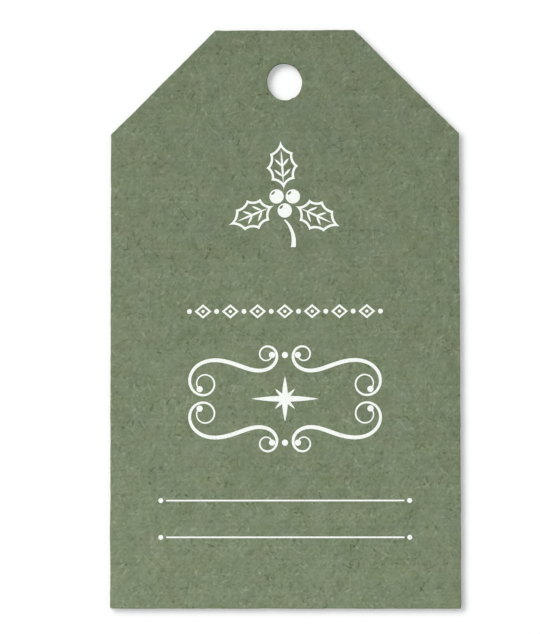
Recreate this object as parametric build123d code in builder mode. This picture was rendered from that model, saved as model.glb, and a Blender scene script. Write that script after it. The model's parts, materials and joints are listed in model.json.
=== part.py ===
from build123d import *
import os
from math import atan2, cos, hypot, pi, radians, sin, sqrt, tan

# Gift tag with clipped top corners: three sheets of paper pasted into one card, a punched string hole,
# and a white ink ornament printed on the face.
# The tag lies on its back. X runs across it, Y up it towards the hole, Z up out of the printed face.
# The origin is the centre of the back face, and every size is in millimetres.

# Card
TAG_WIDTH = 53.6
TAG_LENGTH = 88.9
CORNER_CUT = 16.1
CORNER_RADIUS = 0.15
HOLE_DIAMETER = 5.56
HOLE_INSET = 8.0
BACK_THICKNESS = 0.25
CORE_THICKNESS = 0.25
FACE_THICKNESS = 0.25
PASTE_THICKNESS = 0.02
DIE_ROLL_RADIUS = 0.05

# Ink, and where each ornament sits down the tag, as a share of its length from the top edge
INK_THICKNESS = 0.03
SPRIG_PLACE_SHARE = 0.298
DIVIDER_PLACE_SHARE = 0.489
SCROLL_PLACE_SHARE = 0.640
UPPER_LINE_PLACE_SHARE = 0.815
LOWER_LINE_PLACE_SHARE = 0.878

# Holly sprig: leaf edges and veins are given as shares of the leaf's length and half width
LEAF_LENGTH = 7.6
LEAF_WIDTH = 4.9
LEAF_STROKE = 0.36
LEAF_SPINE_SHARES = [(0.20, 0.74), (0.46, 1.00), (0.74, 0.72)]
LEAF_SCALLOP_SHARE = 0.17
LEAF_POINT_ANGLE = 16
LEAF_ANGLES = {"sprig_top_leaf": 94, "sprig_left_leaf": 203, "sprig_right_leaf": 335}
LEAF_CLEARANCE = 0.35
VEIN_STROKE = 0.34
MIDRIB_SHARES = (0.12, 0.82)
SIDE_VEIN_SHARES = [(0.26, 0.42, 0.52), (0.47, 0.63, 0.44)]
BERRY_DIAMETER = 2.2
BERRY_GAP = 0.30
BERRY_COUNT = 3
BERRY_START_ANGLE = 150
HIGHLIGHT_LENGTH = 0.80
HIGHLIGHT_WIDTH = 0.34
HIGHLIGHT_OFFSET = 0.52
HIGHLIGHT_ANGLE = 45
STEM_LENGTH = 4.2
STEM_LEAN = 1.3
STEM_BOW = 0.55
STEM_TIP_STROKE = 0.32
STEM_CUT_STROKE = 0.75

# Divider: a row of lozenges with a bead beside each
LOZENGE_COUNT = 7
LOZENGE_WIDTH = 2.6
LOZENGE_HEIGHT = 2.2
LOZENGE_STROKE = 0.30
LOZENGE_DOT_DIAMETER = 0.50
BEAD_DIAMETER = 0.75
BEAD_GAP = 0.42

# Scrolls, and the pearls and star that they frame
SCROLL_OUTER_SPAN = 6.2
SCROLL_INNER_SPAN = 4.3
SCROLL_OUTER_TURNS = 1.45
SCROLL_INNER_TURNS = 1.30
SCROLL_TILT = 160
SCROLL_STROKE = 0.62
SCROLL_HAIRLINE = 0.20
SCROLL_BALL_DIAMETER = 0.95
SCROLL_ROW_GAP = 0.80
SCROLL_POINTS = 20
SPIRAL_SUBSTEPS = 40
PEARL_DIAMETER = 0.95
PEARL_CLEARANCE = 0.55
STAR_HEIGHT = 7.0
STAR_WIDTH = 10.4
STAR_RAY_STROKE = 0.90
STAR_DIAGONAL_LENGTH = 4.4
STAR_DIAGONAL_STROKE = 0.62
STAR_DIAGONAL_ANGLE = 45

# Writing lines, each with a bead at both ends
WRITING_LINE_LENGTH = 38.8
WRITING_LINE_STROKE = 0.25

# Heights of the stack, from the surface the tag lies on
BACK_PASTE_BASE = BACK_THICKNESS
CORE_BASE = BACK_PASTE_BASE + PASTE_THICKNESS
FACE_PASTE_BASE = CORE_BASE + CORE_THICKNESS
FACE_BASE = FACE_PASTE_BASE + PASTE_THICKNESS
INK_BASE = FACE_BASE + FACE_THICKNESS

TOP_EDGE = TAG_LENGTH / 2


def height_on_tag(share):
    """Y of a place given as a share of the tag's length from its top edge."""
    return TOP_EDGE - share * TAG_LENGTH


def ink_plane(x=0, y=0, angle=0):
    """Plane on top of the face sheet, with its X axis turned by an angle in degrees."""
    turned = radians(angle)
    return Plane(origin=(x, y, INK_BASE), x_dir=(cos(turned), sin(turned), 0), z_dir=(0, 0, 1))


def lens(start, end, width):
    """Pen stroke: two arcs between the same points, as wide as width halfway along."""
    with BuildSketch() as stroke:
        with BuildLine():
            SagittaArc(start, end, width / 2)
            SagittaArc(end, start, width / 2)
        make_face()
    return stroke.sketch


def save(piece, name):
    piece.part.label = name
    export_step(piece.part, f"parts/{name}.step")


os.makedirs("parts", exist_ok=True)

# Die-cut outline that every sheet and paste film shares
with BuildSketch() as blank:
    with BuildLine():
        Polyline(
            (-TAG_WIDTH / 2, -TOP_EDGE),
            (TAG_WIDTH / 2, -TOP_EDGE),
            (TAG_WIDTH / 2, TOP_EDGE - CORNER_CUT),
            (TAG_WIDTH / 2 - CORNER_CUT, TOP_EDGE),
            (CORNER_CUT - TAG_WIDTH / 2, TOP_EDGE),
            (-TAG_WIDTH / 2, TOP_EDGE - CORNER_CUT),
            close=True,
        )
    make_face()
    fillet(blank.vertices(), CORNER_RADIUS)
    with Locations((0, TOP_EDGE - HOLE_INSET)):
        Circle(HOLE_DIAMETER / 2, mode=Mode.SUBTRACT)

# Sheets and the paste between them, from the back up
plies = {
    "back_sheet": (0, BACK_THICKNESS),
    "back_paste_film": (BACK_PASTE_BASE, PASTE_THICKNESS),
    "core_sheet": (CORE_BASE, CORE_THICKNESS),
    "face_paste_film": (FACE_PASTE_BASE, PASTE_THICKNESS),
}
for name, (base, thickness) in plies.items():
    with BuildPart() as ply:
        with BuildSketch(Plane.XY.offset(base)):
            add(blank.sketch)
        extrude(amount=thickness)
    save(ply, name)

# Face sheet, its cut edges rolled over a little by the die
with BuildPart() as face_sheet:
    with BuildSketch(Plane.XY.offset(FACE_BASE)):
        add(blank.sketch)
    extrude(amount=FACE_THICKNESS)
    fillet(face_sheet.faces().sort_by(Axis.Z)[-1].edges(), DIE_ROLL_RADIUS)
save(face_sheet, "face_sheet")

# Sprig berries in a ring, each with a slit of bare card as its highlight
sprig_y = height_on_tag(SPRIG_PLACE_SHARE)
berry_ring_radius = (BERRY_DIAMETER + BERRY_GAP) / 2 / sin(pi / BERRY_COUNT)

with BuildPart() as berries:
    with BuildSketch(ink_plane(y=sprig_y)):
        with PolarLocations(berry_ring_radius, BERRY_COUNT, BERRY_START_ANGLE, rotate=False):
            Circle(BERRY_DIAMETER / 2)
            with Locations((-HIGHLIGHT_OFFSET, HIGHLIGHT_OFFSET)):
                highlight = lens((-HIGHLIGHT_LENGTH / 2, 0), (HIGHLIGHT_LENGTH / 2, 0), HIGHLIGHT_WIDTH)
                add(highlight, rotation=HIGHLIGHT_ANGLE, mode=Mode.SUBTRACT)
    extrude(amount=INK_THICKNESS)
save(berries, "sprig_berries")


def leaf_side(side):
    """Scalloped edge on one side of a leaf: a hollow arc between each spine and the next.

    The first and last arcs are as hollow as the angle of the leaf's two points leaves them."""
    spines = [(along * LEAF_LENGTH, side * out * LEAF_WIDTH / 2) for along, out in LEAF_SPINE_SHARES]
    points = [(0, 0), *spines, (LEAF_LENGTH, 0)]
    for start, end in zip(points, points[1:]):
        chord = hypot(end[0] - start[0], end[1] - start[1])
        slope = atan2(abs(end[1] - start[1]), end[0] - start[0])
        depth = LEAF_SCALLOP_SHARE * chord
        if start == points[0] or end == points[-1]:
            depth = tan((slope - radians(LEAF_POINT_ANGLE) / 2) / 2) * chord / 2
        SagittaArc(start, end, -side * depth)


# Sprig leaves, each growing out of the notch between two berries
leaf_base_distance = berry_ring_radius + LEAF_CLEARANCE
for name, angle in LEAF_ANGLES.items():
    base_x = leaf_base_distance * cos(radians(angle))
    base_y = sprig_y + leaf_base_distance * sin(radians(angle))
    with BuildPart() as leaf:
        with BuildSketch(ink_plane(base_x, base_y, angle)):
            with BuildLine():
                leaf_side(1)
                leaf_side(-1)
            make_face()
            offset(amount=-LEAF_STROKE, mode=Mode.SUBTRACT)
        with BuildSketch(ink_plane(base_x, base_y, angle)):
            midrib_start, midrib_end = MIDRIB_SHARES
            add(lens((midrib_start * LEAF_LENGTH, 0), (midrib_end * LEAF_LENGTH, 0), VEIN_STROKE))
            for root, reach, out in SIDE_VEIN_SHARES:
                for side in (1, -1):
                    vein_tip = (reach * LEAF_LENGTH, side * out * LEAF_WIDTH / 2)
                    add(lens((root * LEAF_LENGTH, 0), vein_tip, VEIN_STROKE))
        extrude(amount=INK_THICKNESS)
    save(leaf, name)

# Sprig stem, bowed and leaning, thickest where it was cut
stem_y = sprig_y - berry_ring_radius - BERRY_DIAMETER / 2 - LEAF_CLEARANCE
with BuildPart() as stem:
    with BuildSketch(ink_plane(y=stem_y)):
        with BuildLine():
            left_edge = SagittaArc(
                (-STEM_TIP_STROKE / 2, 0),
                (STEM_LEAN - STEM_CUT_STROKE / 2, -STEM_LENGTH),
                STEM_BOW,
            )
            right_edge = SagittaArc(
                (STEM_TIP_STROKE / 2, 0),
                (STEM_LEAN + STEM_CUT_STROKE / 2, -STEM_LENGTH),
                STEM_BOW,
            )
            Line(left_edge @ 0, right_edge @ 0)
            Line(left_edge @ 1, right_edge @ 1)
        make_face()
    extrude(amount=INK_THICKNESS)
save(stem, "sprig_stem")

# Divider
divider_y = height_on_tag(DIVIDER_PLACE_SHARE)
divider_pitch = LOZENGE_WIDTH + BEAD_DIAMETER + 2 * BEAD_GAP
lozenge_apothem = LOZENGE_WIDTH * LOZENGE_HEIGHT / 2 / hypot(LOZENGE_WIDTH, LOZENGE_HEIGHT)


def lozenge(inset, mode):
    """Lozenge drawn in from its full size by the same inset on all four sides."""
    half_width = (1 - inset / lozenge_apothem) * LOZENGE_WIDTH / 2
    half_height = (1 - inset / lozenge_apothem) * LOZENGE_HEIGHT / 2
    Polygon((half_width, 0), (0, half_height), (-half_width, 0), (0, -half_height), align=None, mode=mode)


with BuildPart() as lozenges:
    with BuildSketch(ink_plane(y=divider_y)):
        with GridLocations(divider_pitch, divider_pitch, LOZENGE_COUNT, 1):
            lozenge(0, Mode.ADD)
            lozenge(LOZENGE_STROKE, Mode.SUBTRACT)
            Circle(LOZENGE_DOT_DIAMETER / 2)
    extrude(amount=INK_THICKNESS)
save(lozenges, "divider_lozenges")

with BuildPart() as beads:
    with BuildSketch(ink_plane(y=divider_y)):
        with GridLocations(divider_pitch, divider_pitch, LOZENGE_COUNT + 1, 1):
            Circle(BEAD_DIAMETER / 2)
    extrude(amount=INK_THICKNESS)
save(beads, "divider_beads")


# Scrolls: each is a double spiral whose curvature grows steadily away from its waist
def spiral_arm(span, turns):
    """Points and headings along one arm, from the waist to its eye.

    span is the distance from the waist to the spiral's limit point, which sets its scale."""
    scale = span / sqrt(pi / 2)
    step_count = SCROLL_POINTS * SPIRAL_SUBSTEPS
    step = sqrt(4 * pi * turns) * scale / step_count
    x, y = 0, 0
    places = [(x, y, 0)]
    for index in range(step_count):
        heading = ((2 * index + 1) * step / 2 / scale) ** 2 / 2
        x += step * cos(heading)
        y += step * sin(heading)
        if (index + 1) % SPIRAL_SUBSTEPS == 0:
            places.append((x, y, ((index + 1) * step / scale) ** 2 / 2))
    return places


outer_arm = spiral_arm(SCROLL_OUTER_SPAN, SCROLL_OUTER_TURNS)
inner_arm = [(-x, -y, heading) for x, y, heading in spiral_arm(SCROLL_INNER_SPAN, SCROLL_INNER_TURNS)]
scroll_line = inner_arm[:0:-1] + outer_arm


def scroll_edge(side):
    """One edge of the scroll's stroke, full at the waist and a hairline at both eyes."""
    edge = []
    for index, (x, y, heading) in enumerate(scroll_line):
        fullness = sin(pi * index / (len(scroll_line) - 1)) ** 2
        half = (SCROLL_HAIRLINE + (SCROLL_STROKE - SCROLL_HAIRLINE) * fullness) / 2
        edge.append((x - side * half * sin(heading), y + side * half * cos(heading)))
    return edge


with BuildSketch() as level_scroll:
    with BuildLine():
        upper_edge = Spline(*scroll_edge(1))
        lower_edge = Spline(*scroll_edge(-1))
        Line(upper_edge @ 0, lower_edge @ 0)
        Line(upper_edge @ 1, lower_edge @ 1)
    make_face()
    for x, y, _ in (scroll_line[0], scroll_line[-1]):
        with Locations((x, y)):
            Circle(SCROLL_BALL_DIAMETER / 2)

with BuildSketch() as tilted_scroll:
    add(level_scroll.sketch, rotation=SCROLL_TILT)

# Four scrolls about one centre: the upper left one, and its mirror images across the tag and below
scroll_y = height_on_tag(SCROLL_PLACE_SHARE)
scroll_reach = tilted_scroll.sketch.bounding_box()
scroll_x_shift = -PEARL_DIAMETER / 2 - PEARL_CLEARANCE - scroll_reach.max.X
scroll_y_shift = SCROLL_ROW_GAP / 2 - scroll_reach.min.Y
with BuildPart() as upper_left_scroll:
    with BuildSketch(ink_plane(scroll_x_shift, scroll_y + scroll_y_shift)):
        add(tilted_scroll.sketch)
    extrude(amount=INK_THICKNESS)
save(upper_left_scroll, "upper_left_scroll")

below = Plane(origin=(0, scroll_y, 0), z_dir=(0, 1, 0))
with BuildPart() as upper_right_scroll:
    add(mirror(upper_left_scroll.part, about=Plane.YZ, mode=Mode.PRIVATE))
save(upper_right_scroll, "upper_right_scroll")

with BuildPart() as lower_left_scroll:
    add(mirror(upper_left_scroll.part, about=below, mode=Mode.PRIVATE))
save(lower_left_scroll, "lower_left_scroll")

with BuildPart() as lower_right_scroll:
    add(mirror(upper_right_scroll.part, about=below, mode=Mode.PRIVATE))
save(lower_right_scroll, "lower_right_scroll")

# Pearls between the inner eyes of the scrolls, level with them
inner_eye_x, inner_eye_y, _ = inner_arm[-1]
tilt = radians(SCROLL_TILT)
pearl_reach = inner_eye_x * sin(tilt) + inner_eye_y * cos(tilt) + scroll_y_shift
with BuildPart() as pearls:
    with BuildSketch(ink_plane(y=scroll_y)):
        with Locations((0, pearl_reach), (0, -pearl_reach)):
            Circle(PEARL_DIAMETER / 2)
    extrude(amount=INK_THICKNESS)
save(pearls, "scroll_pearls")

# Star in the middle of the scrolls
with BuildPart() as star:
    with BuildSketch(ink_plane(y=scroll_y)):
        add(lens((0, -STAR_HEIGHT / 2), (0, STAR_HEIGHT / 2), STAR_RAY_STROKE))
        add(lens((-STAR_WIDTH / 2, 0), (STAR_WIDTH / 2, 0), STAR_RAY_STROKE))
        diagonal = lens((-STAR_DIAGONAL_LENGTH / 2, 0), (STAR_DIAGONAL_LENGTH / 2, 0), STAR_DIAGONAL_STROKE)
        add(diagonal, rotation=STAR_DIAGONAL_ANGLE)
        add(diagonal, rotation=-STAR_DIAGONAL_ANGLE)
    extrude(amount=INK_THICKNESS)
save(star, "scroll_star")

# Writing lines
end_bead_x = (WRITING_LINE_LENGTH - BEAD_DIAMETER) / 2
rule_length = WRITING_LINE_LENGTH - 2 * (BEAD_DIAMETER + BEAD_GAP)
line_places = {"upper_writing_line": UPPER_LINE_PLACE_SHARE, "lower_writing_line": LOWER_LINE_PLACE_SHARE}
for name, share in line_places.items():
    with BuildPart() as line:
        with BuildSketch(ink_plane(y=height_on_tag(share))):
            SlotOverall(rule_length, WRITING_LINE_STROKE)
            with Locations((-end_bead_x, 0), (end_bead_x, 0)):
                Circle(BEAD_DIAMETER / 2)
        extrude(amount=INK_THICKNESS)
    save(line, name)
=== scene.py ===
import json
from math import cos, hypot, pi, radians, sin, sqrt, tan
from typing import NamedTuple

import bpy
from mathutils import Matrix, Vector, noise
from mathutils.geometry import delaunay_2d_cdt


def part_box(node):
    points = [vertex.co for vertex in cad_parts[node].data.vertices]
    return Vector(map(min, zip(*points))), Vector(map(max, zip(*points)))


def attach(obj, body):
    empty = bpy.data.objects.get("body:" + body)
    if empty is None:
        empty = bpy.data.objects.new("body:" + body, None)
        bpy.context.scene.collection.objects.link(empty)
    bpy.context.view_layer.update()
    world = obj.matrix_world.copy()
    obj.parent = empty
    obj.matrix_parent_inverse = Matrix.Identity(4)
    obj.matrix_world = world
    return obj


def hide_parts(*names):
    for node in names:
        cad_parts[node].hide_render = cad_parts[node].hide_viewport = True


# Gift tag of sage green recycled paper, lying on a white floor, seen from above.
# Lengths are written in millimetres and turned into metres by MM.
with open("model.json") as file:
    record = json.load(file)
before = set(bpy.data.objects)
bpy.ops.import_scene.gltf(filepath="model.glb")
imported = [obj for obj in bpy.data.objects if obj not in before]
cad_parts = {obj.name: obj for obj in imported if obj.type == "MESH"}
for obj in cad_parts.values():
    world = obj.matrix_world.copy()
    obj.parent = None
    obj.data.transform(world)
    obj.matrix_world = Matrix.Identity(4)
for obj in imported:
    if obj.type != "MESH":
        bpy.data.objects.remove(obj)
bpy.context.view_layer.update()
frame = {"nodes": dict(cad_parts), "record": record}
MM = 0.001


class Pattern(NamedTuple):
    """Noise on a surface.

    length: about how long its features are
    part: which part of the endless noise it shows, counted from where its material starts
    depth: how far it makes the surface lighter and darker
    detail, roughness: how many finer layers it has, and how strong they are
    thinness: how many times thinner its features are upwards than along the card"""
    length: float
    part: int
    depth: float = 0.0
    detail: float = 0.0
    roughness: float = 0.5
    thinness: float = 1.0


# Camera, solved from the tag's corners and hole in the 540 by 634 frame
CAMERA_PLACE = (7.917, -21.746, 400.0)
CAMERA_TURN_DEGREES = (3.131, 1.467, -0.055)
CAMERA_LENS = 147.94
CAMERA_SENSOR = 36.0

# Light: each share is the part of the light on the middle of the face that comes from that source
KEY_SHARE = 0.55
KEY_HEADINGS_DEGREES = (119, 143, 167)
KEY_ELEVATION_DEGREES = 35.5
KEY_SPREAD_DEGREES = 28
SKY_SHARE = 0.45
SKY_COLOUR = (0.965, 0.985, 0.995)
SEEN_SKY_COLOUR = (1, 1, 1)
SEEN_SKY_STRENGTH = 1
FLOOR_COLOUR = (0.80, 0.80, 0.80)
FLOOR_GLOW = 0.225
FLOOR_SIZE = 3000.0
FLOOR_DROP = 0.02

# Die-cut outline
CORNER_CUT = 16.1
CORNER_RADIUS = 0.15
CORNER_STEPS = 3
EDGE_STEP = 0.22
EDGE_WAVE = 0.070
EDGE_WAVE_LENGTH = 5.0
EDGE_FUZZ = 0.040
EDGE_FUZZ_LENGTH = 1.2

# Punched hole
HOLE_POINTS = 84
HOLE_OVAL = 0.12
HOLE_OVAL_HEADING_DEGREES = 108
BURR_HEADING_DEGREES = -66
BURR_WIDTH_DEGREES = 8
BURR_HEIGHT = 0.14

# Edges of the layers: rolled over and crushed by the die, and the inner layers sit back a little
EDGE_ROLL = 0.05
EDGE_ROLL_STEPS = 3
EDGE_CRUSH = 0.09
EDGE_CRUSH_DEPTH = 0.006
CORE_RECESS = 0.012
PASTE_RECESS = 0.03
SHARP_ANGLE_DEGREES = 50

# Relief of the face and the back, carried by a grid of points that keeps clear of the cut edges
GRID_PITCH = 0.42
GRID_GAP_SHARE = 0.7
MERGE_DISTANCE = 1e-6
RELIEF_HEIGHT = 0.012
RELIEF_LENGTH = 1.6
RELIEF_OCTAVES = 3
RELIEF_OCTAVE_RATIO = 2.0
RELIEF_SMOOTHNESS = 1.0

# Sides of a sheet
BOTTOM = -1
TOP = 1

# Colours, linear
SAGE = (0.1847, 0.2238, 0.1369)
SAGE_CORE = (0.172, 0.208, 0.131)
PASTE = (0.225, 0.240, 0.175)
INK = (0.95, 0.975, 0.925)

# Sheen of each surface: its lowest roughness, what its grain adds to that, and its specular level
PAPER_SHEEN = (0.84, 0.12, 0.20)
CUT_SHEEN = (0.88, 0.10, 0.12)
INK_SHEEN = (0.62, 0.15, 0.30)

# Parts of the noise lie this far apart, more than the tag is long
PART_STEP = 110.0

# Painted shading, as light falling off across the card: paler towards the left and lower end, gain of tone
# to the right and top edges
PAINTED_LIGHT_FALLOFF = (-0.034, -0.083)

# Light and dark pulp is greyer than the dye: how far its tone goes in red, green and blue
PULP_TINT = (1.07, 0.963, 1.22)

# Paper: soft lumps, mottling from fine to coarse, and patches of other greens
LUMPS = Pattern(length=0.60, part=1, detail=0.5)
LUMP_HEIGHT = 0.085
MOTTLES = [
    Pattern(length=0.10, part=2, depth=0.12, detail=1.0),
    Pattern(length=0.42, part=3, depth=0.19, detail=1.0, roughness=0.6),
    Pattern(length=0.70, part=4, depth=0.205),
    Pattern(length=1.50, part=5, depth=0.205),
    Pattern(length=4.00, part=6, depth=0.19, detail=1.0),
]
HUES = Pattern(length=3.6, part=19, detail=2.0, roughness=0.6)
HUE_DEPTHS = (0.155, 0.105, 0.285)

# Fibres in the paper, layer by layer: cell pitch, length, width, bend (1/mm) and contrast
FIBRE_LAYERS = [
    (0.70, 0.52, 0.40, 0.0, 0.155),
    (0.95, 0.90, 0.36, 0.5, 0.178),
    (1.30, 1.30, 0.34, 0.5, 0.188),
    (1.80, 1.85, 0.30, 0.5, 0.197),
    (3.20, 3.20, 0.26, 0.4, 0.235),
    (2.30, 0.78, 0.56, 0.0, 0.235),
    (0.50, 0.70, 0.09, 1.2, 0.165),
]
FIRST_FIBRE_PART = 8
FIBRE_HEIGHT = 0.005

# A fibre is at full strength in its core, a share of its area, and fades from there to its edge.
# The fibres are crinkled, and stronger in some places than in others.
FIBRE_CORE_SHARE = 0.15
CRINKLE = Pattern(length=0.22, part=7, detail=1.0)
CRINKLE_REACH = 0.16
CROWDING = Pattern(length=3.0, part=18)
CROWDING_LEAST = 0.25
CROWDING_GAIN = 1.5

# Cut edge: streaks of torn layers and of single fibres
TORN_LAYERS = Pattern(length=0.55, part=1, depth=0.60, detail=2.0, roughness=0.6, thinness=11)
TORN_FIBRES = Pattern(length=0.20, part=2, depth=0.45, detail=2.0, roughness=0.6, thinness=4)
CUT_PATCHES = Pattern(length=1.8, part=3, depth=0.25)
CUT_HEIGHT = 0.020

# Ink: the grain of the paper under it, slow changes of tone, and a pattern that makes it thin, from one
# level to another, until a share of the green shows through
INK_GRAIN = Pattern(length=0.30, part=1, depth=0.10, detail=1.0, roughness=0.6)
INK_GRAIN_HEIGHT = 0.006
INK_PATCHES = Pattern(length=1.2, part=21, depth=0.06)
THIN_INK = Pattern(length=0.22, part=22, detail=2.0, roughness=0.7)
THIN_INK_FROM = 0.50
THIN_INK_TO = 0.80
THIN_INK_SHARE = 0.40


def metres(*lengths):
    """A point or size in millimetres as a vector in metres."""
    return Vector(lengths) * MM


def level(node):
    """Lower and upper height of a node, in millimetres."""
    low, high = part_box(node)
    return low.z / MM, high.z / MM


# Outline of the card

_, card_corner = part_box("face_sheet")
HALF_WIDTH = card_corner.x / MM
TOP_EDGE = card_corner.y / MM
hole_mount = next(mount for mount in frame["record"]["mounts"] if mount["name"] == "string_hole")
HOLE_CENTRE = Vector(hole_mount["pos_m"][:2]) / MM
HOLE_RADIUS = hole_mount["dims"]["r_mm"]


def card_corners():
    """The six corners of the card, anticlockwise from the lower left."""
    shoulder = TOP_EDGE - CORNER_CUT
    top_end = HALF_WIDTH - CORNER_CUT
    corners = [
        (-HALF_WIDTH, -TOP_EDGE),
        (HALF_WIDTH, -TOP_EDGE),
        (HALF_WIDTH, shoulder),
        (top_end, TOP_EDGE),
        (-top_end, TOP_EDGE),
        (-HALF_WIDTH, shoulder),
    ]
    return [Vector(corner) for corner in corners]


def rounded_corner(before, corner, after):
    """Points of the arc that rounds one corner off."""
    arriving = (corner - before).normalized()
    leaving = (after - corner).normalized()
    turn = arriving.angle(leaving)
    start = corner - arriving * CORNER_RADIUS * tan(turn / 2)
    to_centre = Vector((-arriving.y, arriving.x)) * CORNER_RADIUS
    centre = start + to_centre
    points = []
    for step in range(CORNER_STEPS + 1):
        angle = turn * step / CORNER_STEPS
        points.append(centre - to_centre * cos(angle) + arriving * CORNER_RADIUS * sin(angle))
    return points


def straight_run(start, end):
    """Points between two ends, about an edge step apart, without the ends."""
    count = max(1, round((end - start).length / EDGE_STEP))
    return [start.lerp(end, step / count) for step in range(1, count)]


def uneven(point, height, length):
    """How far a cut strays from its line at a point: up to the height, swinging over about the length."""
    return height * noise.noise(Vector((point.x, point.y, 0)) / length)


def cut_edge(point, outward):
    """A point of the outline, moved to where the die really cut: it wavers, and the fibres fray."""
    wave = uneven(point, EDGE_WAVE, EDGE_WAVE_LENGTH)
    fuzz = uneven(point, EDGE_FUZZ, EDGE_FUZZ_LENGTH)
    return point + outward * (wave + fuzz)


def loop_normals(points):
    """Direction to the right of travel at each point of a closed loop."""
    normals = []
    for index in range(len(points)):
        along = points[(index + 1) % len(points)] - points[index - 1]
        normals.append(Vector((along.y, -along.x)).normalized())
    return normals


def outer_loop():
    """The cut outline, anticlockwise, and the outward direction at each of its points."""
    corners = card_corners()
    points = []
    for index, corner in enumerate(corners):
        arc = rounded_corner(corners[index - 1], corner, corners[(index + 1) % len(corners)])
        if points:
            points += straight_run(points[-1], arc[0])
        points += arc
    points += straight_run(points[-1], points[0])
    normals = loop_normals(points)
    return [cut_edge(point, normal) for point, normal in zip(points, normals)], normals


def hole_loop():
    """The punched hole, clockwise, and the direction into the hole at each of its points.

    It is a little longer one way than the other, and a burr of paper stands into it at its lower right."""
    points = []
    normals = []
    for index in range(HOLE_POINTS):
        angle = -2 * pi * index / HOLE_POINTS
        from_burr = (angle - radians(BURR_HEADING_DEGREES) + pi) % (2 * pi) - pi
        burr = BURR_HEIGHT * max(0, 1 - abs(from_burr) / radians(BURR_WIDTH_DEGREES))
        oval = HOLE_OVAL * cos(2 * (angle - radians(HOLE_OVAL_HEADING_DEGREES)))
        outward = Vector((cos(angle), sin(angle)))
        point = HOLE_CENTRE + outward * (HOLE_RADIUS + oval - burr)
        points.append(point - outward * uneven(point, EDGE_FUZZ, EDGE_FUZZ_LENGTH))
        normals.append(-outward)
    return points, normals


OUTER, OUTER_NORMALS = outer_loop()
HOLE, HOLE_NORMALS = hole_loop()
RING_SIZE = len(OUTER) + len(HOLE)


def ring_points(inset):
    """The outline and then the hole, drawn into the paper from the cut by an inset."""
    points = OUTER + HOLE
    normals = OUTER_NORMALS + HOLE_NORMALS
    return [point - normal * inset for point, normal in zip(points, normals)]


# Surface of the paper

def relief(point, side):
    """Height of the paper's surface at a point, above the lowest; the two sides have their own relief."""
    place = Vector((point.x, point.y, side * TOP_EDGE)) / RELIEF_LENGTH
    hills = noise.fractal(place, RELIEF_SMOOTHNESS, RELIEF_OCTAVE_RATIO, RELIEF_OCTAVES)
    return RELIEF_HEIGHT * min(1, max(0, 0.5 + 0.5 * hills))


def clear_of_edges(x, y):
    """True where a surface point keeps clear of the points on the cut edges."""
    gap = EDGE_CRUSH + GRID_GAP_SHARE * GRID_PITCH
    across = HALF_WIDTH - abs(x) - gap
    along = TOP_EDGE - abs(y) - gap
    slant = (HALF_WIDTH + TOP_EDGE - CORNER_CUT - abs(x) - y) / sqrt(2) - gap
    from_hole = hypot(x - HOLE_CENTRE.x, y - HOLE_CENTRE.y) - HOLE_RADIUS - HOLE_OVAL - gap
    return min(across, along, slant, from_hole) > 0


def surface_points():
    """Staggered rows of points that carry the paper's relief."""
    points = []
    row_pitch = GRID_PITCH * sqrt(3) / 2
    row_count = int(TOP_EDGE / row_pitch)
    column_count = int(HALF_WIDTH / GRID_PITCH)
    for row in range(-row_count, row_count + 1):
        for column in range(-column_count, column_count + 1):
            x = (column + 0.5 * (row % 2)) * GRID_PITCH
            y = row * row_pitch
            if clear_of_edges(x, y):
                points.append(Vector((x, y)))
    return points


SURFACE = surface_points()


# Sheets

def wall_faces(ring):
    """Faces that join a ring to the ring above it, as numbers of their corners."""
    faces = []
    for first, count in ((0, len(OUTER)), (len(OUTER), len(HOLE))):
        start = ring * RING_SIZE + first
        for index in range(count):
            here = start + index
            after = start + (index + 1) % count
            faces.append((here, after, after + RING_SIZE, here + RING_SIZE))
    return faces


def filled(ring, inner):
    """Triangles over the card between its two loops; the corners number the points of ring + inner."""
    outer_face = list(range(len(OUTER)))
    hole_face = list(range(len(OUTER), RING_SIZE))
    inside_with_holes = 2
    _, _, triangles, origins, _, _ = delaunay_2d_cdt(
        ring + inner, [], [outer_face, hole_face], inside_with_holes, MERGE_DISTANCE
    )
    return [[origins[corner][0] for corner in triangle] for triangle in triangles]


def build_sheet(name, rings, surface_material, cut_material, relief_side=None):
    """A closed sheet: its rings run from the bottom up as (inset, height), and the end ones are filled.

    Upright walls are the cut, and the rest is the paper's surface. Relief is on one side or on none."""
    surface_slot, cut_slot = 0, 1
    corners = []
    faces = []
    slots = []
    for inset, height in rings:
        corners += [(*point, height) for point in ring_points(inset)]
    for ring, ((inset, _), (next_inset, _)) in enumerate(zip(rings, rings[1:])):
        walls = wall_faces(ring)
        faces += walls
        slots += [cut_slot if inset == next_inset else surface_slot] * len(walls)
    for side, ring in ((BOTTOM, 0), (TOP, len(rings) - 1)):
        inset, height = rings[ring]
        inner = SURFACE if side == relief_side else []
        numbers = [*range(ring * RING_SIZE, (ring + 1) * RING_SIZE)]
        numbers += range(len(corners), len(corners) + len(inner))
        corners += [(*point, height + relief(point, side)) for point in inner]
        for triangle in filled(ring_points(inset), inner):
            face = [numbers[corner] for corner in triangle]
            faces.append(face if side == TOP else face[::-1])
            slots.append(surface_slot)
    mesh = bpy.data.meshes.new(name)
    mesh.from_pydata([metres(*corner) for corner in corners], [], faces)
    mesh.materials.append(surface_material)
    mesh.materials.append(cut_material)
    mesh.polygons.foreach_set("material_index", slots)
    mesh.shade_smooth()
    mesh.set_sharp_from_angle(angle=radians(SHARP_ANGLE_DEGREES))
    piece = bpy.data.objects.new(name, mesh)
    bpy.context.scene.collection.objects.link(piece)
    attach(piece, "root")
    return piece


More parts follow.
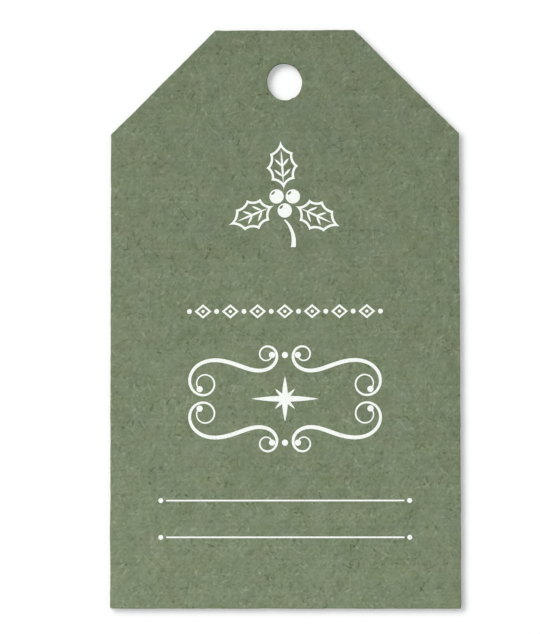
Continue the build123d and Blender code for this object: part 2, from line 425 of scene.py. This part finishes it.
def face_rings():
    """Rings of the printed sheet, whose upper edge is rolled over and crushed."""
    bottom, top = level("face_sheet")
    rings = [(0, bottom), (0, top - EDGE_ROLL)]
    for step in range(1, EDGE_ROLL_STEPS + 1):
        angle = pi / 2 * step / EDGE_ROLL_STEPS
        fall = (EDGE_ROLL - EDGE_CRUSH_DEPTH) * (1 - sin(angle))
        rings.append((EDGE_ROLL * (1 - cos(angle)), top - EDGE_CRUSH_DEPTH - fall))
    rings.append((EDGE_CRUSH, top))
    return rings


def back_rings():
    """Rings of the back sheet, whose lower edge is crushed."""
    bottom, top = level("back_sheet")
    return [(EDGE_CRUSH, bottom), (0, bottom + EDGE_CRUSH_DEPTH), (0, top)]


def flat_rings(node, recess):
    """Rings of an inner layer, which sits back from the cut by a recess."""
    bottom, top = level(node)
    return [(recess, bottom), (recess, top)]


# Materials

class Recipe:
    """The node tree of a material or of the sky, with short calls for the nodes that are used here.

    Its patterns are counted from a start of its own in the noise."""

    def __init__(self, owner, start=0):
        self.owner = owner
        self.start = start
        owner.use_nodes = True
        self.nodes = owner.node_tree.nodes
        self.links = owner.node_tree.links
        self.nodes.clear()

    def place(self):
        """Where a point of the surface is, in metres."""
        return self.nodes.new("ShaderNodeTexCoord").outputs["Object"]

    def feed(self, socket, value):
        """Gives a socket a constant, or what another node puts out."""
        if isinstance(value, bpy.types.NodeSocket):
            self.links.new(value, socket)
        else:
            socket.default_value = value

    def math(self, operation, first, second=0.0, third=0.0):
        """A sum on numbers."""
        node = self.nodes.new("ShaderNodeMath")
        node.operation = operation
        for socket, value in zip(node.inputs, (first, second, third)):
            self.feed(socket, value)
        return node.outputs[0]

    def vector(self, operation, first, second):
        """A sum on vectors or colours."""
        node = self.nodes.new("ShaderNodeVectorMath")
        node.operation = operation
        self.feed(node.inputs[0], first)
        self.feed(node.inputs[1], second)
        return node.outputs[0]

    def scaled(self, vector, factor):
        """A vector or colour times a number."""
        node = self.nodes.new("ShaderNodeVectorMath")
        node.operation = "SCALE"
        self.feed(node.inputs[0], vector)
        self.feed(node.inputs["Scale"], factor)
        return node.outputs[0]

    def total(self, values):
        """Several numbers added up."""
        result = values[0]
        for value in values[1:]:
            result = self.math("ADD", result, value)
        return result

    def ramp(self, value, low, high, from_value, to_value):
        """Smooth step: from_value up to low, to_value from high on."""
        node = self.nodes.new("ShaderNodeMapRange")
        node.interpolation_type = "SMOOTHSTEP"
        self.feed(node.inputs["Value"], value)
        node.inputs["From Min"].default_value = low
        node.inputs["From Max"].default_value = high
        node.inputs["To Min"].default_value = from_value
        node.inputs["To Max"].default_value = to_value
        return node.outputs["Result"]

    def shifted(self, place, part, thinness=1):
        """A place moved to a part of the noise, where features are thinner upwards than they are long."""
        node = self.nodes.new("ShaderNodeMapping")
        self.links.new(place, node.inputs["Vector"])
        node.inputs["Location"].default_value = ((self.start + part) * PART_STEP * MM, 0, 0)
        node.inputs["Scale"].default_value = (1, 1, thinness)
        return node.outputs["Vector"]

    def drawn(self, pattern):
        """The node that draws a pattern."""
        node = self.nodes.new("ShaderNodeTexNoise")
        place = self.shifted(self.place(), pattern.part, pattern.thinness)
        self.links.new(place, node.inputs["Vector"])
        node.inputs["Scale"].default_value = 1 / (pattern.length * MM)
        node.inputs["Detail"].default_value = pattern.detail
        node.inputs["Roughness"].default_value = pattern.roughness
        return node

    def cloud(self, pattern):
        """A pattern as a number from 0 to 1."""
        return self.drawn(pattern).outputs["Fac"]

    def sway(self, pattern):
        """A pattern as a vector about zero, which changes each way by itself."""
        return self.vector("SUBTRACT", self.drawn(pattern).outputs["Color"], (0.5, 0.5, 0.5))

    def swing(self, value, depth):
        """A number from 0 to 1 as a number about zero, times a depth."""
        return self.math("MULTIPLY", self.math("SUBTRACT", value, 0.5), depth)

    def mottle(self, pattern):
        """A pattern as a tone about zero."""
        return self.swing(self.cloud(pattern), pattern.depth)

    def painted_falloff(self, gains):
        """Painted shading that changes steadily across the card, as light falling off: gains from its middle
        to its right and top edges.
        """
        node = self.nodes.new("ShaderNodeVectorMath")
        node.operation = "DOT_PRODUCT"
        self.links.new(self.place(), node.inputs[0])
        node.inputs[1].default_value = (gains[0] / (HALF_WIDTH * MM), gains[1] / (TOP_EDGE * MM), 0)
        return node.outputs["Value"]

    def crinkled(self, pattern, reach):
        """Where a point is, pushed about by a pattern, so that what is drawn there has uneven edges."""
        return self.vector("ADD", self.place(), self.scaled(self.sway(pattern), reach * MM))

    def strokes(self, place, part, pitch, length, width, bend):
        """Fibres with pointed ends, one in each cell of a pattern, each with its own heading and strength.

        Gives where the fibres are, and the same with each fibre's tone from -1, dark, to 1, light."""
        place = self.shifted(place, part)
        cells = self.nodes.new("ShaderNodeTexVoronoi")
        cells.voronoi_dimensions = "2D"
        self.links.new(place, cells.inputs["Vector"])
        cells.inputs["Scale"].default_value = 1 / (pitch * MM)
        chances = self.nodes.new("ShaderNodeSeparateColor")
        self.links.new(cells.outputs["Color"], chances.inputs["Color"])
        heading, strength, curve = chances.outputs
        turned = self.nodes.new("ShaderNodeVectorRotate")
        turned.rotation_type = "Z_AXIS"
        self.links.new(self.vector("SUBTRACT", place, cells.outputs["Position"]), turned.inputs["Vector"])
        self.links.new(self.math("MULTIPLY", heading, 2 * pi), turned.inputs["Angle"])
        local = self.nodes.new("ShaderNodeSeparateXYZ")
        self.links.new(turned.outputs["Vector"], local.inputs["Vector"])
        along, across, _ = local.outputs
        bow = self.math("MULTIPLY", self.swing(curve, bend / MM), self.math("MULTIPLY", along, along))
        along = self.math("DIVIDE", along, length * MM / 2)
        across = self.math("DIVIDE", self.math("ADD", across, bow), width * MM / 2)
        reach = self.math("MULTIPLY_ADD", along, along, self.math("MULTIPLY", across, across))
        mask = self.ramp(reach, FIBRE_CORE_SHARE, 1.0, 1.0, 0.0)
        tone = self.math("MULTIPLY_ADD", strength, 2.0, -1.0)
        return mask, self.math("MULTIPLY", mask, tone)

    def shaded(self, colour, tones):
        """A colour made lighter and darker by tones about zero."""
        return self.scaled(colour, self.math("ADD", self.total(tones), 1.0))

    def tinted(self, colour, change):
        """A colour changed by shares about zero in red, green and blue."""
        return self.vector("MULTIPLY", self.vector("ADD", change, (1, 1, 1)), colour)

    def pulped(self, colour, tones):
        """A paper's colour with light and dark pulp in it, of tones about zero."""
        return self.tinted(colour, self.scaled(PULP_TINT, self.total(tones)))

    def seen(self):
        """1 for what the camera sees, also in gloss and through glass, and 0 for light cast on things."""
        path = self.nodes.new("ShaderNodeLightPath").outputs
        seen = self.math("MAXIMUM", path["Is Camera Ray"], path["Is Glossy Ray"])
        return self.math("MAXIMUM", seen, path["Is Transmission Ray"])

    def show(self, shader, output_type):
        """Makes a shader the one that is used."""
        self.links.new(shader, self.nodes.new(output_type).inputs["Surface"])

    def finish(self, colour, height, grain, sheen):
        """Joins colour, height in millimetres, and sheen over a grain from 0 to 1 to a surface."""
        least_roughness, grain_roughness, specular = sheen
        bump = self.nodes.new("ShaderNodeBump")
        bump.inputs["Strength"].default_value = 1.0
        bump.inputs["Distance"].default_value = MM
        self.links.new(height, bump.inputs["Height"])
        roughness = self.math("MULTIPLY_ADD", grain, grain_roughness, least_roughness)
        surface = self.nodes.new("ShaderNodeBsdfPrincipled")
        self.links.new(colour, surface.inputs["Base Color"])
        self.links.new(roughness, surface.inputs["Roughness"])
        surface.inputs["Specular IOR Level"].default_value = specular
        self.links.new(bump.outputs["Normal"], surface.inputs["Normal"])
        self.show(surface.outputs["BSDF"], "ShaderNodeOutputMaterial")
        return self.owner


def new_recipe(name, start=0):
    """The recipe of a new material."""
    return Recipe(bpy.data.materials.new(name), start)


def paper_material(name, colour, start):
    """Recycled paper: mottled, with flecks and fibres of light and dark pulp and patches of other greens."""
    paper = new_recipe(name, start)
    lumps = paper.cloud(LUMPS)
    tones = [paper.mottle(pattern) for pattern in MOTTLES]
    heights = [paper.math("MULTIPLY", lumps, LUMP_HEIGHT)]
    flecks = []
    crinkled = paper.crinkled(CRINKLE, CRINKLE_REACH)
    for layer, (pitch, length, width, bend, contrast) in enumerate(FIBRE_LAYERS):
        mask, tone = paper.strokes(crinkled, FIRST_FIBRE_PART + layer, pitch, length, width, bend)
        flecks.append(paper.math("MULTIPLY", tone, contrast))
        heights.append(paper.math("MULTIPLY", mask, FIBRE_HEIGHT))
    crowding = paper.math("MULTIPLY_ADD", paper.cloud(CROWDING), CROWDING_GAIN, CROWDING_LEAST)
    tones.append(paper.math("MULTIPLY", paper.total(flecks), crowding))
    hue = paper.vector("MULTIPLY", paper.sway(HUES), HUE_DEPTHS)
    dyed = paper.tinted(colour, hue)
    # The paper's colour also gets painted shading, darker towards its right and top edges
    shaded = paper.shaded(paper.pulped(dyed, tones), [paper.painted_falloff(PAINTED_LIGHT_FALLOFF)])
    return paper.finish(shaded, paper.total(heights), lumps, PAPER_SHEEN)


def cut_edge_material(name, colour, start):
    """Cut edge: the layers of pulp show as thin streaks along the edge, torn open by the die."""
    cut = new_recipe(name, start)
    layers = cut.cloud(TORN_LAYERS)
    fibres = cut.cloud(TORN_FIBRES)
    tones = [
        cut.swing(layers, TORN_LAYERS.depth),
        cut.swing(fibres, TORN_FIBRES.depth),
        cut.mottle(CUT_PATCHES),
    ]
    # The cut edge gets the same painted shading, darker towards the right and top edges
    shaded = cut.shaded(cut.pulped(colour, tones), [cut.painted_falloff(PAINTED_LIGHT_FALLOFF)])
    height = cut.math("MULTIPLY", cut.total([layers, fibres]), CUT_HEIGHT)
    return cut.finish(shaded, height, layers, CUT_SHEEN)


def ink_material(name):
    """Matte white ink over the paper's grain, thin in places, where a little of the green shows through."""
    ink = new_recipe(name)
    grain = ink.cloud(INK_GRAIN)
    tones = [ink.swing(grain, INK_GRAIN.depth), ink.mottle(INK_PATCHES)]
    thin = ink.ramp(ink.cloud(THIN_INK), THIN_INK_FROM, THIN_INK_TO, 0.0, THIN_INK_SHARE)
    hidden = [white - green for white, green in zip(INK, SAGE)]
    colour = ink.vector("SUBTRACT", ink.shaded(INK, tones), ink.scaled(hidden, thin))
    height = ink.math("MULTIPLY", grain, INK_GRAIN_HEIGHT)
    return ink.finish(colour, height, grain, INK_SHEEN)


def floor_material(name):
    """Floor that takes the tag's shadow. A glow that lights nothing lifts it to white where it is lit."""
    floor = new_recipe(name)
    diffuse = floor.nodes.new("ShaderNodeBsdfDiffuse")
    diffuse.inputs["Color"].default_value = (*FLOOR_COLOUR, 1)
    glow = floor.nodes.new("ShaderNodeEmission")
    floor.links.new(floor.math("MULTIPLY", floor.seen(), FLOOR_GLOW), glow.inputs["Strength"])
    both = floor.nodes.new("ShaderNodeAddShader")
    floor.links.new(diffuse.outputs[0], both.inputs[0])
    floor.links.new(glow.outputs[0], both.inputs[1])
    floor.show(both.outputs[0], "ShaderNodeOutputMaterial")
    return floor.owner


# Build the card, where each material starts in the noise at a part of its own

sage = paper_material("sage_paper", SAGE, start=0)
sage_back = paper_material("sage_back_paper", SAGE, start=20)
core = paper_material("sage_core_paper", SAGE_CORE, start=40)
paste = paper_material("dry_paste", PASTE, start=60)
sage_cut = cut_edge_material("sage_cut_edge", SAGE, start=80)
core_cut = cut_edge_material("sage_core_cut_edge", SAGE_CORE, start=90)
ink = ink_material("white_ink_print")

face_paper = build_sheet("face_paper", face_rings(), sage, sage_cut, TOP)
core_paper = build_sheet("core_paper", flat_rings("core_sheet", CORE_RECESS), core, core_cut)
back_paper = build_sheet("back_paper", back_rings(), sage_back, sage_cut, BOTTOM)
face_paste = build_sheet("face_paste", flat_rings("face_paste_film", PASTE_RECESS), paste, paste)
back_paste = build_sheet("back_paste", flat_rings("back_paste_film", PASTE_RECESS), paste, paste)

for piece, node, slot in (
    (face_paper, "face_sheet", "green_paper"),
    (core_paper, "core_sheet", "green_core"),
    (back_paper, "back_sheet", "green_paper"),
    (face_paste, "face_paste_film", "paste"),
    (back_paste, "back_paste_film", "paste"),
):
    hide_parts(node)

for subpart in frame["record"]["subparts"]:
    if subpart["material_slot"] == "white_ink":
        frame["nodes"][subpart["node"]].material_slots[0].material = ink


# Floor, light and camera

def build_floor():
    """White floor, a hair below the tag."""
    half = FLOOR_SIZE / 2
    mesh = bpy.data.meshes.new("floor")
    corners = [(-half, -half), (half, -half), (half, half), (-half, half)]
    mesh.from_pydata([metres(x, y, -FLOOR_DROP) for x, y in corners], [], [(0, 1, 2, 3)])
    mesh.materials.append(floor_material("white_floor"))
    floor = bpy.data.objects.new("floor", mesh)
    bpy.context.scene.collection.objects.link(floor)


def build_key():
    """Wide soft light from the upper left: lamps side by side, far enough away to be even."""
    elevation = radians(KEY_ELEVATION_DEGREES)
    for heading_degrees in KEY_HEADINGS_DEGREES:
        heading = radians(heading_degrees)
        lamp = bpy.data.lights.new("key", "SUN")
        lamp.energy = pi * KEY_SHARE / len(KEY_HEADINGS_DEGREES) / sin(elevation)
        lamp.angle = radians(KEY_SPREAD_DEGREES)
        key = bpy.data.objects.new("key", lamp)
        towards = Vector((cos(elevation) * cos(heading), cos(elevation) * sin(heading), sin(elevation)))
        key.rotation_mode = "QUATERNION"
        key.rotation_quaternion = towards.to_track_quat("Z", "Y")
        bpy.context.scene.collection.objects.link(key)


def build_sky():
    """Even light from all round, and white wherever the camera sees past the floor."""
    sky = Recipe(bpy.data.worlds.new("sky"))
    ambient = sky.nodes.new("ShaderNodeBackground")
    ambient.inputs["Color"].default_value = (*SKY_COLOUR, 1)
    ambient.inputs["Strength"].default_value = SKY_SHARE
    white = sky.nodes.new("ShaderNodeBackground")
    white.inputs["Color"].default_value = (*SEEN_SKY_COLOUR, 1)
    white.inputs["Strength"].default_value = SEEN_SKY_STRENGTH
    choose = sky.nodes.new("ShaderNodeMixShader")
    sky.links.new(sky.seen(), choose.inputs["Fac"])
    sky.links.new(ambient.outputs[0], choose.inputs[1])
    sky.links.new(white.outputs[0], choose.inputs[2])
    sky.show(choose.outputs[0], "ShaderNodeOutputWorld")
    bpy.context.scene.world = sky.owner


def build_camera():
    """Camera above the tag, at the photograph's viewing angle."""
    data = bpy.data.cameras.new("camera")
    data.sensor_width = CAMERA_SENSOR
    data.lens = CAMERA_LENS
    camera = bpy.data.objects.new("camera", data)
    camera.location = metres(*CAMERA_PLACE)
    camera.rotation_euler = [radians(angle) for angle in CAMERA_TURN_DEGREES]
    bpy.context.scene.collection.objects.link(camera)
    bpy.context.scene.camera = camera


build_floor()
build_key()
build_sky()
build_camera()
bpy.context.scene.view_settings.view_transform = "Standard"
